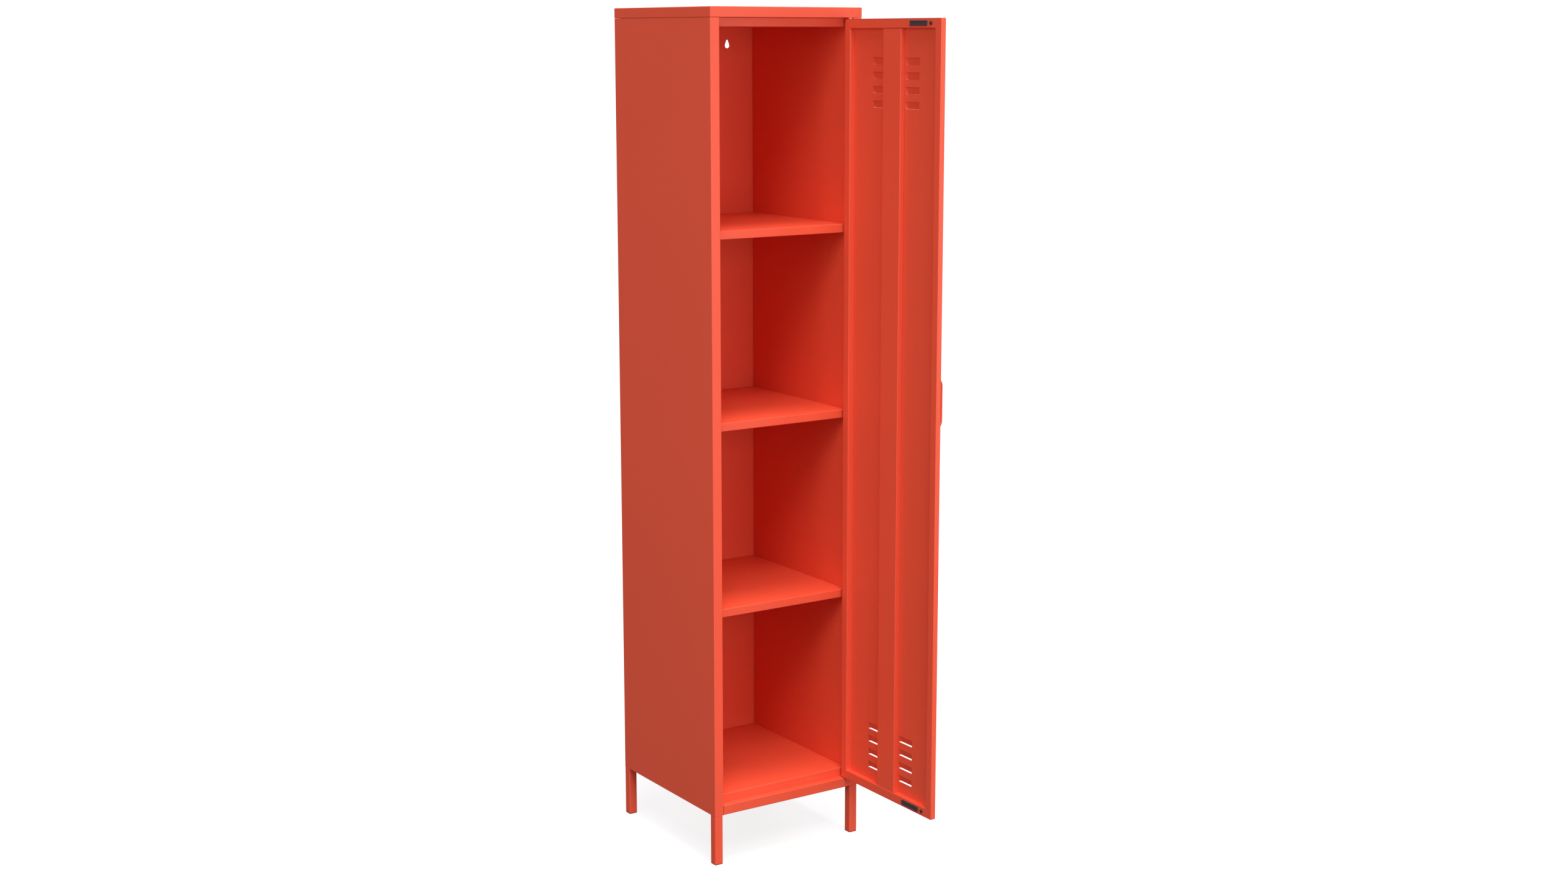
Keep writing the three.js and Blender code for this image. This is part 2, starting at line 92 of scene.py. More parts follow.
class LockerSheetSettings(bpy.types.PropertyGroup):
    """How the cabinet's sheets are folded."""

    bend: FloatProperty(
        name="Bend radius", description="Outer radius of a fold in the cabinet's sheets",
        default=0.0016, min=0.0009, unit="LENGTH",
    )
    flange: FloatProperty(
        name="Flange", description="Width of the turned-in rear edge and of the cap's edge",
        default=0.018, unit="LENGTH",
    )
    hem: FloatProperty(
        name="Hem", description="Depth of the turned-in edge under a shelf's lip",
        default=0.009, unit="LENGTH",
    )
    side_fold: FloatProperty(
        name="Side fold", description="Height of a shelf's side and rear folds",
        default=0.015, unit="LENGTH",
    )
    edge: FloatProperty(
        name="Edge break", description="Chamfer along the cut edges of a sheet",
        default=0.00012, unit="LENGTH",
    )
    corner: FloatProperty(
        name="Corner radius", description="Rounding of the ground corners of the cap and door",
        default=0.0008, unit="LENGTH",
    )
    bend_steps: IntProperty(
        name="Bend steps", description="Faces round a quarter turn of a fold", default=5, min=2,
    )


class LockerDoorSettings(bpy.types.PropertyGroup):
    """How the door is pressed and folded."""

    bend: FloatProperty(
        name="Edge radius", description="Outer radius of the door skin's folded edges",
        default=0.0026, unit="LENGTH",
    )
    border_side: FloatProperty(
        name="Side border", description="Width of the inner frame's upright borders",
        default=0.019, unit="LENGTH",
    )
    border_end: FloatProperty(
        name="End border", description="Width of the inner frame's top and bottom borders",
        default=0.020, unit="LENGTH",
    )
    window_radius: FloatProperty(
        name="Window corner", description="Corner radius of the opening in the inner frame",
        default=0.003, unit="LENGTH",
    )
    rib_foot: FloatProperty(
        name="Rib foot", description="Width of the rib's turned-in feet",
        default=0.012, unit="LENGTH",
    )
    louvre_height: FloatProperty(
        name="Louvre height", description="Height of one pressed louvre",
        default=0.015, unit="LENGTH",
    )
    louvre_shoulder: FloatProperty(
        name="Louvre shoulder", description="Height over which a louvre's top slopes out",
        default=0.0025, unit="LENGTH",
    )
    louvre_cheek: FloatProperty(
        name="Louvre cheek", description="Length over which a louvre's ends round down",
        default=0.0018, unit="LENGTH",
    )


class LockerHandleSettings(bpy.types.PropertyGroup):
    """Shape of the bow handle."""

    strip: FloatProperty(
        name="Strip thickness", description="Thickness of the bow at its crown",
        default=0.005, unit="LENGTH",
    )
    bend: FloatProperty(
        name="End radius", description="Outer radius of the bow's two ends",
        default=0.022, unit="LENGTH",
    )
    roundness: FloatProperty(
        name="Roundness", description="How far the bow's section is rounded, 2 being an ellipse",
        default=2.6, min=2.0,
    )


class LockerFinishSettings(bpy.types.PropertyGroup):
    """Colours of the locker's materials."""

    coral: FloatVectorProperty(
        name="Powder coat", description="Colour of the painted steel",
        subtype="COLOR", size=3, default=(0.872, 0.096, 0.043), min=0, max=1,
    )
    plastic: FloatVectorProperty(
        name="Feet", description="Colour of the plastic feet",
        subtype="COLOR", size=3, default=(0.42, 0.045, 0.028), min=0, max=1,
    )
    zinc: FloatVectorProperty(
        name="Zinc", description="Colour of the plated pins and screws",
        subtype="COLOR", size=3, default=(0.55, 0.56, 0.58), min=0, max=1,
    )
    nylon: FloatVectorProperty(
        name="Nylon", description="Colour of the hinge bushes",
        subtype="COLOR", size=3, default=(0.75, 0.73, 0.67), min=0, max=1,
    )
    magnet: FloatVectorProperty(
        name="Magnet", description="Colour of the bar magnets",
        subtype="COLOR", size=3, default=(0.030, 0.029, 0.038), min=0, max=1,
    )
    rubber: FloatVectorProperty(
        name="Rubber", description="Colour of the bumpers",
        subtype="COLOR", size=3, default=(0.015, 0.014, 0.016), min=0, max=1,
    )


class LockerStageSettings(bpy.types.PropertyGroup):
    """Camera, floor and lights."""

    camera_place: FloatVectorProperty(
        name="Camera", description="Where the camera stands",
        subtype="TRANSLATION", unit="LENGTH", size=3, default=(-2.5207, -3.8189, 1.7888),
    )
    camera_turn: FloatProperty(
        name="Camera turn", description="How far the camera looks to the right of straight ahead",
        subtype="ANGLE", unit="ROTATION", default=math.radians(33.59),
    )
    camera_tilt: FloatProperty(
        name="Camera tilt", description="How far the camera looks down from level",
        subtype="ANGLE", unit="ROTATION", default=math.radians(10.71),
    )
    lens: FloatProperty(
        name="Lens", description="Focal length, in millimetres on a 36 mm wide sensor",
        default=49.08,
    )
    top_strength: FloatProperty(
        name="Top light", description="Strength of the broad light from almost overhead",
        default=2.25,
    )
    key_strength: FloatProperty(
        name="Key light", description="Strength of the broad light from high on the front left",
        default=1.28,
    )
    panel_power: FloatProperty(
        name="Soft panels", description="Power of a soft panel; the wide front one has two",
        default=32.0, unit="POWER",
    )
    ambient: FloatProperty(
        name="Ambient", description="Strength of the even light from all round", default=0.166,
    )
    backdrop: FloatProperty(
        name="Backdrop", description="Brightness of the backdrop behind the floor", default=1.05,
    )


# ---------------------------------------------------------------- mesh helpers


def bent_line(corners, radius, steps):
    """Points and left-hand normals of a line folded at its corners with the given radius."""
    corners = [Vector(c) for c in corners]
    heading = [(b - a).normalized() for a, b in zip(corners, corners[1:])]
    left = [Vector((-h.y, h.x)) for h in heading]
    line = [(corners[0], left[0])]
    for i in range(1, len(corners) - 1):
        turn = heading[i - 1].angle_signed(heading[i])
        side = -1 if turn > 0 else 1  # angle_signed is positive clockwise
        reach = radius * math.tan(abs(turn) / 2)
        centre = corners[i] - heading[i - 1] * reach + left[i - 1] * radius * side
        for k in range(steps + 1):
            spin = Matrix.Rotation(-turn * k / steps, 2)
            normal = spin @ left[i - 1]
            line.append((centre - normal * radius * side, normal))
    line.append((corners[-1], left[-1]))
    return [p for k, p in enumerate(line) if k == 0 or (p[0] - line[k - 1][0]).length > 1e-7]


def fold_points(corners, radius, steps):
    """The points alone of a folded line."""
    return [point for point, normal in bent_line(corners, radius, steps)]


def arc_points(centre, radius, start, end, steps):
    """Points on an arc in a plane, from one angle to another."""
    angles = [start + (end - start) * k / steps for k in range(steps + 1)]
    return [centre + Vector((math.cos(a), math.sin(a))) * radius for a in angles]


class Surface:
    """Points and faces gathered piece by piece, in the local frame of one part."""

    def __init__(self):
        self.points = []
        self.faces = []

    def add(self, points):
        start = len(self.points)
        self.points.extend(Vector(p) for p in points)
        return list(range(start, len(self.points)))

    def strips(self, rows, closed=False):
        """Faces between rows of equal length; closed joins each row's last point to its first."""
        rows = [self.add(row) for row in rows]
        count = len(rows[0])
        last = count if closed else count - 1
        for upper, lower in zip(rows, rows[1:]):
            for i in range(last):
                j = (i + 1) % count
                self.faces.append((upper[i], lower[i], lower[j], upper[j]))
        return rows

    def flat(self, loops, height, flip=False):
        """A level face with holes: the first loop is its outline, the others its holes."""
        rings = [[Vector((p[0], p[1], height)) for p in loop] for loop in loops]
        index = [i for ring in rings for i in self.add(ring)]
        for a, b, c in tessellate_polygon(rings):
            tri = (index[a], index[b], index[c])
            p, q, r = (self.points[i] for i in tri)
            up = (q - p).cross(r - p).z
            if abs(up) < 1e-14:
                continue
            self.faces.append(tri if (up > 0) != flip else tri[::-1])

    def skirt(self, stations, section, height, closed=True, mitred=0.0):
        """Folds down from an edge: stations are (point, direction outward, mitre direction).

        Corners are mitred as far out as mitred, and round beyond it.
        """
        rows = []
        for out, down in section:
            sharp = min(out, mitred)
            rows.append([
                (*(p + m * sharp + n * (out - sharp)), height - down) for p, n, m in stations
            ])
        return self.strips(rows, closed)

    def close(self, rows):
        """Faces over the first and the last of the closed rows that strips gave."""
        self.faces += [tuple(rows[0]), tuple(rows[-1][::-1])]

    def join(self, other):
        """Takes in another surface's points and faces."""
        start = len(self.points)
        self.points += other.points
        self.faces += [tuple(i + start for i in face) for face in other.faces]

    def mesh(self, matrix=None):
        """A bmesh of what was gathered, its coincident points merged."""
        bm = bmesh.new()
        verts = [bm.verts.new(p) for p in self.points]
        for f in self.faces:
            corners = [verts[i] for i in f]
            if len(set(corners)) > 2:
                bm.faces.new(corners)
        bmesh.ops.remove_doubles(bm, verts=bm.verts, dist=MERGE)
        bmesh.ops.dissolve_degenerate(bm, edges=bm.edges, dist=MERGE)
        if matrix is not None:
            bm.transform(matrix)
            if matrix.determinant() < 0:
                bmesh.ops.reverse_faces(bm, faces=bm.faces)
        return bm


def edge_stations(x, y, steps):
    """Stations round a rectangle, anticlockwise, fanning out at each corner.

    The rectangle is given by the rising coordinates of the lines that cross it each way.
    """
    sides = [
        ([(u, y[0]) for u in x], -90), ([(x[-1], v) for v in y], 0),
        ([(u, y[-1]) for u in reversed(x)], 90), ([(x[0], v) for v in reversed(y)], 180),
    ]
    stations = []
    for line, start in sides:
        first = math.radians(start)
        out = Vector((math.cos(first), math.sin(first)))
        stations += [(Vector(p), out, out) for p in line[1:-1]]
        mitre = out + Vector((-out.y, out.x))
        for k in range(steps + 1):
            a = first + math.pi / 2 * k / steps
            stations.append((Vector(line[-1]), Vector((math.cos(a), math.sin(a))), mitre))
    return stations


def axes(a, b, origin=(0, 0, 0)):
    """Matrix from a part's own frame, whose first two axes run along a and b."""
    a, b = Vector(a), Vector(b)
    n = a.cross(b)
    turn = Matrix((a, b, n)).transposed().to_4x4()
    return Matrix.Translation(origin) @ turn


def profile_prism(line, thickness, low, high):
    """A sheet whose folded section is a bent line, drawn out from low to high."""
    outer = [p for p, n in line]
    inner = [p + n * thickness for p, n in line]
    surface = Surface()
    ring = outer + inner[::-1]
    surface.strips([[(*p, high) for p in ring], [(*p, low) for p in ring]], closed=True)
    count = len(outer)
    for height in (low, high):
        index = surface.add([(*p, height) for p in ring])
        for i in range(count - 1):
            j = 2 * count - 1 - i
            quad = (index[i], index[i + 1], index[j - 1], index[j])
            surface.faces.append(quad)
    return surface


def turned(profile, centre, steps, capped=True):
    """Body of revolution about Z from (radius, height) points."""
    surface = Surface()
    rows = surface.strips([circle(centre, r, z, steps) for r, z in profile[::-1]], closed=True)
    if capped:
        surface.close(rows)
    return surface


def circle(centre, radius, z, steps):
    """Points round a level circle or regular polygon."""
    angles = [2 * math.pi * k / steps for k in range(steps)]
    return [(centre[0] + radius * math.cos(a), centre[1] + radius * math.sin(a), z) for a in angles]


def middle_of(low, high, plane="xy"):
    """Middle of a box in one plane."""
    return Vector([(getattr(low, a) + getattr(high, a)) / 2 for a in plane])


def shrunk(span, inset):
    """A (low, high) span with both ends drawn in."""
    return span[0] + inset, span[1] - inset


def rectangle(x, y):
    """Sharp outline, anticlockwise."""
    return [Vector((x[i], y[j])) for i, j in ((0, 0), (1, 0), (1, 1), (0, 1))]


def rounded_rectangle(x, y, radius, steps=5):
    """Outline with round corners, anticlockwise."""
    points = []
    corners = [(x[1], y[0], -90), (x[1], y[1], 0), (x[0], y[1], 90), (x[0], y[0], 180)]
    for cx, cy, start in corners:
        centre = Vector((cx + (radius if cx == x[0] else -radius),
                         cy + (radius if cy == y[0] else -radius)))
        points += arc_points(centre, radius, math.radians(start), math.radians(start + 90), steps)
    return points


def inset_ring(x, y, inset, radius, z, least, steps):
    """Round-cornered outline at a height, drawn in from a rectangle on every side."""
    radius = max(radius - inset, least)
    return [(*p, z) for p in rounded_rectangle(shrunk(x, inset), shrunk(y, inset), radius, steps)]


def thicken(bm, thickness, even=True):
    """Gives a surface its thickness, to the back of its faces."""
    mesh = bpy.data.meshes.new("work")
    bm.to_mesh(mesh)
    bm.free()
    work = bpy.data.objects.new("work", mesh)
    bpy.context.scene.collection.objects.link(work)
    solidify = work.modifiers.new("Thickness", "SOLIDIFY")
    solidify.thickness = thickness
    solidify.offset = -1
    solidify.use_even_offset = even
    solidify.use_quality_normals = True
    solidify.thickness_clamp = 0
    done = bmesh.new()
    done.from_object(work, bpy.context.evaluated_depsgraph_get())
    bpy.data.objects.remove(work)
    bpy.data.meshes.remove(mesh)
    return done


def break_edges(bm, width, angle):
    """A small chamfer along every sharp edge."""
    bmesh.ops.recalc_face_normals(bm, faces=bm.faces)
    limit = math.radians(angle)
    sharp = [e for e in bm.edges if e.is_manifold and e.calc_face_angle(0) > limit]
    if sharp:
        bmesh.ops.bevel(
            bm, geom=sharp, offset=width, offset_type="OFFSET", segments=1,
            affect="EDGES", clamp_overlap=True, profile=0.5,
        )


def make_piece(bm, name, nodes, slot, body="cabinet", smooth=32):
    """Turns a mesh into a finished piece that rides on a body and stands for CAD nodes."""
    bmesh.ops.recalc_face_normals(bm, faces=bm.faces)
    if bm.calc_volume(signed=True) < 0:
        bmesh.ops.reverse_faces(bm, faces=bm.faces)
    mesh = bpy.data.meshes.new(name)
    bm.to_mesh(mesh)
    bm.free()
    mesh.shade_smooth()
    mesh.set_sharp_from_angle(angle=math.radians(smooth))
    mesh.materials.append(finish_of(slot))
    piece = bpy.data.objects.new(name, mesh)
    bpy.context.scene.collection.objects.link(piece)
    weighted = piece.modifiers.new("Flat faces stay flat", "WEIGHTED_NORMAL")
    weighted.keep_sharp = True
    weighted.weight = 80
    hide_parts(*nodes)
    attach(piece, body)


def make_painted(bm, name, node, body="cabinet", angle=55):
    """Breaks the edges of a painted steel part and makes it into a piece."""
    break_edges(bm, bpy.context.scene.locker_sheet.edge, angle)
    make_piece(bm, name, [node], COAT, body)


# ---------------------------------------------------------------- materials


class Wire:
    """A socket's output. Arithmetic on it adds Math nodes to its material."""

    def __init__(self, graph, socket):
        self.graph = graph
        self.socket = socket

    def _math(self, operation, first, second):
        return self.graph.node("ShaderNodeMath", {"operation": operation}, {0: first, 1: second})

    def __add__(self, other):
        return self._math("ADD", self, other)

    def __radd__(self, other):
        return self._math("ADD", other, self)

    def __sub__(self, other):
        return self._math("SUBTRACT", self, other)

    def __rsub__(self, other):
        return self._math("SUBTRACT", other, self)

    def __mul__(self, other):
        return self._math("MULTIPLY", self, other)

    def __rmul__(self, other):
        return self._math("MULTIPLY", other, self)

    def __pow__(self, other):
        return self._math("POWER", self, other)


class Graph:
    """One material's node tree, with a Principled surface."""

    def __init__(self, name):
        self.material = bpy.data.materials.new(name)
        self.material.use_nodes = True
        self.tree = self.material.node_tree
        self.surface = self.tree.nodes["Principled BSDF"]

    def node(self, kind, settings=None, sockets=None, output=0):
        """Adds a node: its settings first, then the values or links of its sockets."""
        made = self.tree.nodes.new(kind)
        for key, value in (settings or {}).items():
            setattr(made, key, value)
        for key, value in (sockets or {}).items():
            self._feed(made.inputs[key], value)
        return Wire(self, made.outputs[output])

    def _feed(self, socket, value):
        if isinstance(value, Wire):
            self.tree.links.new(value.socket, socket)
        elif socket.type == "RGBA":
            socket.default_value = (*value, 1)
        else:
            socket.default_value = value

    def set(self, **inputs):
        """Sets or links the surface's sockets, named with underscores for spaces."""
        for key, value in inputs.items():
            self._feed(self.surface.inputs[key.replace("_", " ")], value)

    def place(self):
        """The part's own coordinates, in metres."""
        return self.node("ShaderNodeTexCoord", output="Object")

    def noise(self, place, scale, detail=2.0, roughness=0.5):
        return self.node(
            "ShaderNodeTexNoise", {"noise_dimensions": "3D"},
            {"Vector": place, "Scale": scale, "Detail": detail, "Roughness": roughness},
        )

    def blend(self, factor, first, second):
        """Colour between two colours."""
        return self.node("ShaderNodeMix", {"data_type": "RGBA"}, {0: factor, 6: first, 7: second}, 2)

    def mottle(self, mask, colour, low, high):
        """A colour that varies with a mask between two multiples of itself."""
        return self.blend(mask, shade(colour, low), shade(colour, high))

    def bump(self, height, strength, distance):
        return self.node(
            "ShaderNodeBump", None,
            {"Strength": strength, "Distance": distance, "Height": height}, output="Normal",
        )


def shade(colour, factor):
    """A lighter or darker colour of the same hue."""
    return tuple(min(1.0, c * factor) for c in colour)


def powder_coat(colours):
    """Satin powder coat: fine orange peel, a little cloudiness in tone and sheen."""
    g = Graph("coral powder coat")
    place = g.place()
    cloud = g.noise(place, 2.3, 3.0)
    grain = g.noise(place, 900.0, 1.0)
    peel = g.noise(place, 420.0, 2.0, 0.45)
    speck = g.noise(place, 2600.0, 0.0)
    tone = g.mottle(cloud, colours.coral, 0.96, 1.04)
    g.set(
        Base_Color=g.blend(grain * 0.35, tone, shade(colours.coral, 0.93)),
        Roughness=0.40 + 0.06 * cloud + 0.05 * grain,
        Normal=g.bump(peel * 0.75 + speck * 0.25, 0.16, 0.0004),
    )
    g.surface.inputs["Specular IOR Level"].default_value = 0.4
    return g.material


def moulded_plastic(colours):
    """Matte moulded plastic with a spark-eroded grain."""
    g = Graph("red moulded plastic")
    place = g.place()
    grain = g.noise(place, 1500.0, 2.0)
    cloud = g.noise(place, 30.0, 2.0)
    g.set(
        Base_Color=g.mottle(cloud, colours.plastic, 0.9, 1.12),
        Roughness=0.52 + 0.14 * grain,
        Normal=g.bump(grain, 0.3, 0.0003),
    )
    return g.material


def zinc_plate(colours):
    """Bright zinc plating with fine turning marks and a faint cloudiness."""
    g = Graph("bright zinc plate")
    place = g.place()
    cloud = g.noise(place, 160.0, 3.0)
    streak = g.node(
        "ShaderNodeTexWave", {"wave_type": "BANDS", "bands_direction": "Z"},
        {"Vector": place, "Scale": 900.0, "Distortion": 1.5, "Detail": 2.0},
    )
    g.set(
        Base_Color=g.mottle(cloud, colours.zinc, 0.85, 1.15),
        Metallic=1.0,
        Roughness=0.22 + 0.18 * cloud,
        Normal=g.bump(streak, 0.12, 0.0002),
    )
    return g.material


def white_nylon(colours):
    """Natural nylon with a soft, slightly uneven surface."""
    g = Graph("white nylon")
    place = g.place()
    cloud = g.noise(place, 120.0, 2.0)
    grain = g.noise(place, 2000.0, 1.0)
    g.set(
        Base_Color=g.mottle(cloud, colours.nylon, 0.93, 1.03),
        Roughness=0.38 + 0.12 * cloud,
        Normal=g.bump(grain, 0.15, 0.0002),
    )
    return g.material


def bonded_magnet(colours):
    """Black bonded ferrite with pressed grain and faint scuffs along its length."""
    g = Graph("bonded magnet")
    place = g.place()
    stretched = g.node(
        "ShaderNodeMapping", {"vector_type": "POINT"}, {"Vector": place, "Scale": (1.0, 0.06, 1.0)},
    )
    scuff = g.noise(stretched, 1400.0, 3.0, 0.6)
    grain = g.noise(place, 1800.0, 2.0)
    g.set(
        Base_Color=g.mottle(scuff ** 2.0, colours.magnet, 1.0, 2.2),
        Roughness=0.45 + 0.25 * grain,
        Normal=g.bump(grain, 0.25, 0.0003),
    )
    return g.material


def soft_rubber(colours):
    """Matte rubber with a dusty bloom."""
    g = Graph("soft rubber")
    place = g.place()
    bloom = g.noise(place, 500.0, 3.0)
    g.set(
        Base_Color=g.mottle(bloom, colours.rubber, 1.0, 2.0),
        Roughness=0.68 + 0.2 * bloom,
        Normal=g.bump(bloom, 0.2, 0.0003),
    )
    return g.material


FINISHES = {
    COAT: powder_coat,
    "red_plastic": moulded_plastic,
    "zinc_steel": zinc_plate,
    "white_nylon": white_nylon,
    "black_magnet": bonded_magnet,
    "black_rubber": soft_rubber,
}
made_finishes = {}


def finish_of(slot):
    """The material of a slot, made the first time it is asked for."""
    if slot not in made_finishes:
        made_finishes[slot] = FINISHES[slot](bpy.context.scene.locker_finish)
    return made_finishes[slot]


# ---------------------------------------------------------------- cabinet


BOLT_HOLE = 0.33  # radius of a foot plate's hole, as a share of the bolt head's width


def drilled_plate(outline, holes, top, bottom):
    """Level plate with holes through it."""
    plate = Surface()
    plate.flat([outline, *holes], top)
    plate.flat([outline, *holes], bottom, True)
    for loop in (outline, *holes):
        plate.strips([[(*p, top) for p in loop], [(*p, bottom) for p in loop]], True)
    return plate


def mirrored_in_x(line, flip):
    """The same bent line for the left or the right side of the cabinet."""
    if not flip:
        return line
    return [(Vector((-p.x, p.y)), Vector((-n.x, n.y))) for p, n in line]


class LOCKER_OT_side_walls(bpy.types.Operator):
    """Folds both side panels and the liners behind them"""

    bl_idname = "locker.side_walls"
    bl_label = "Side walls"

    def execute(self, context):
        s = context.scene.locker_sheet
        for side in SIDES:
            left = side == "left"
            low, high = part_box(side + "_side_panel")
            inner, outer = sorted((abs(low.x), abs(high.x)))
            bm = self.fold([
                (inner, LIP_FACE - SEAM), (inner, low.y), (outer, low.y), (outer, high.y),
                (outer - s.flange, high.y),
            ], low.z, high.z, left, s)
            self.foot_plate(bm, (inner + SHEET, outer - SHEET), low, left)
            make_painted(bm, side + "_side_sheet", side + "_side_panel")
            low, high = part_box(side + "_side_liner")
            inner, outer = sorted((abs(low.x), abs(high.x)))
            bm = self.fold([
                (outer, high.y), (inner, high.y), (inner, low.y), (outer, low.y),
            ], low.z, high.z, left, s)
            make_painted(bm, side + "_liner_sheet", side + "_side_liner")
        return {"FINISHED"}

    def fold(self, corners, low, high, left, s):
        """One upright sheet, its section given for the right side."""
        line = mirrored_in_x(bent_line(corners, s.bend, s.bend_steps), left)
        return profile_prism(line, SHEET, low, high).mesh()

    def foot_plate(self, bm, across, low, left):
        """Plate inside the bottom of the side panel, which the legs bolt to."""
        x = (-across[1], -across[0]) if left else across
        outline = rounded_rectangle(x, (low.y + SHEET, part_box("back_panel")[0].y), SHEET)
        top = low.z + SHEET
        holes = []
        for corner in CORNERS:
            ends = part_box("leg_bolt_" + corner)
            centre = middle_of(*ends)
            if x[0] < centre.x < x[1]:
                radius = (ends[1].x - ends[0].x) * BOLT_HOLE
                holes.append(arc_points(centre, radius, 0, 2 * math.pi, 20)[:-1])
        plate = drilled_plate(outline, holes, top, low.z)
        mesh = bpy.data.meshes.new("plate")
        extra = plate.mesh()
        extra.to_mesh(mesh)
        extra.free()
        bm.from_mesh(mesh)
        bpy.data.meshes.remove(mesh)


class LOCKER_OT_cap(bpy.types.Operator):
    """Makes the top cap, a tray turned upside down with its edge turned in"""

    bl_idname = "locker.cap"
    bl_label = "Top cap"

    def execute(self, context):
        s = context.scene.locker_sheet
        low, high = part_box("top_cap")
        x, y = shrunk((low.x, high.x), s.bend), shrunk((low.y, high.y), s.bend)
        drop = high.z - low.z
        section = fold_points(
            [(0, 0), (s.bend, 0), (s.bend, drop), (s.bend - s.flange, drop)], s.bend, s.bend_steps)
        cap = Surface()
        cap.flat([rectangle(x, y)], high.z)
        mitred = s.bend - s.corner
        cap.skirt(edge_stations(x, y, s.bend_steps), section, high.z, mitred=mitred)
        make_painted(thicken(cap.mesh(), SHEET), "top_cap_sheet", "top_cap")
        return {"FINISHED"}


class LOCKER_OT_back(bpy.types.Operator):
    """Makes the back panel with its two keyholes"""

    bl_idname = "locker.back"
    bl_label = "Back panel"

    def execute(self, context):
        low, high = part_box("back_panel")
        corner = 0.002
        outline = rounded_rectangle((low.x, high.x), (low.z, high.z), corner)
        holes = [self.keyhole(box) for name, box in openings() if name.startswith("keyhole")]
        back = drilled_plate(outline, holes, 0.0, -SHEET)
        bm = back.mesh(axes((1, 0, 0), (0, 0, 1), (0, low.y, 0)))
        make_painted(bm, "back_sheet", "back_panel")
        return {"FINISHED"}

    def keyhole(self, box):
        """Teardrop for a wall screw: its head enters below and its shank rises in the slot."""
        (x0, _, z0), (x1, _, z1) = box
        centre = Vector(((x0 + x1) / 2, (z0 + z1) / 2))
        head, shank, rise = 0.006, 0.0025, 0.0105
        lean = math.asin((head - shank) / rise)
        lower = arc_points(centre, head, math.pi - lean, 2 * math.pi + lean, 22)
        tip = centre + Vector((0, rise))
        return lower + arc_points(tip, shank, lean, math.pi - lean, 10)


def openings():
    """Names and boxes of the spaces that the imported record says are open."""
    return [(o["name"], o["box_m"]) for o in frame["record"]["physics"]["openings"]]


class LOCKER_OT_floor_and_ceiling(bpy.types.Operator):
    """Folds the base pan with its rail, the deck over it and the ceiling"""

    bl_idname = "locker.floor_and_ceiling"
    bl_label = "Floor and ceiling"

    def execute(self, context):
        s = context.scene.locker_sheet
        low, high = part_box("base_pan")
        ledge = LIP_FACE + s.flange / 2
        self.fold("base_pan", [
            (ledge, high.z), (low.y, high.z), (low.y, low.z), (high.y, low.z),
            (high.y, high.z - SEAM),
        ], s)
        low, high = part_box("deck_panel")
        self.fold("deck_panel", [
            (high.y, low.z), (high.y, high.z), (low.y, high.z), (low.y, low.z),
        ], s)
        low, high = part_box("ceiling_panel")
        self.fold("ceiling_panel", [(low.y, high.z), (low.y, low.z), (high.y, low.z)], s)
        return {"FINISHED"}

    def fold(self, node, corners, s):
        """One sheet folded along X, its section given in Y and Z."""
        low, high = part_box(node)
        line = bent_line(corners, s.bend, s.bend_steps)
        bm = profile_prism(line, SHEET, low.x, high.x).mesh(axes((0, 1, 0), (0, 0, 1)))
        make_painted(bm, node + "_sheet", node)


class LOCKER_OT_shelves(bpy.types.Operator):
    """Folds the shelves and the angles that carry them"""

    bl_idname = "locker.shelves"
    bl_label = "Shelves"

    def execute(self, context):
        s = context.scene.locker_sheet
        for node in SHELVES:
            self.shelf(node, s)
            for side in SIDES:
                self.runner(node + "_runner_" + side, side == "left", s)
        return {"FINISHED"}

    def shelf(self, node, s):
        """Tray turned upside down, its front edge turned in as well."""
        low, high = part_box(node)
        x, y = shrunk((low.x, high.x), s.bend), shrunk((low.y, high.y), s.bend)
        drop = high.z - low.z
        outline = rectangle(x, y)
        shelf = Surface()
        shelf.flat([outline], high.z)
        lip = [(0, 0), (s.bend, 0), (s.bend, drop), (s.bend - s.hem, drop)]
        fold = [(0, 0), (s.bend, 0), (s.bend, s.side_fold)]
        for k, out in enumerate(((0, -1), (1, 0), (0, 1), (-1, 0))):
            way = Vector(out)
            stations = [(outline[k], way, way), (outline[(k + 1) % 4], way, way)]
            section = fold_points(fold if k else lip, s.bend, s.bend_steps)
            shelf.skirt(stations, section, high.z, closed=False)
        make_painted(thicken(shelf.mesh(), SHEET), node + "_sheet", node)

    def runner(self, node, left, s):
        """Angle with one leg against the liner and one under the shelf."""
        low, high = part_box(node)
        inner, outer = sorted((abs(low.x), abs(high.x)))
        thick, bend = 0.0015, 0.0025
        line = bent_line([(outer, low.z), (outer, high.z), (inner, high.z)], bend, s.bend_steps)
        surface = profile_prism(mirrored_in_x(line, left), thick, low.y, high.y)
        bm = surface.mesh(axes((1, 0, 0), (0, 0, 1)) @ Matrix.Scale(-1, 4, (0, 0, 1)))
        make_painted(bm, node + "_angle", node)


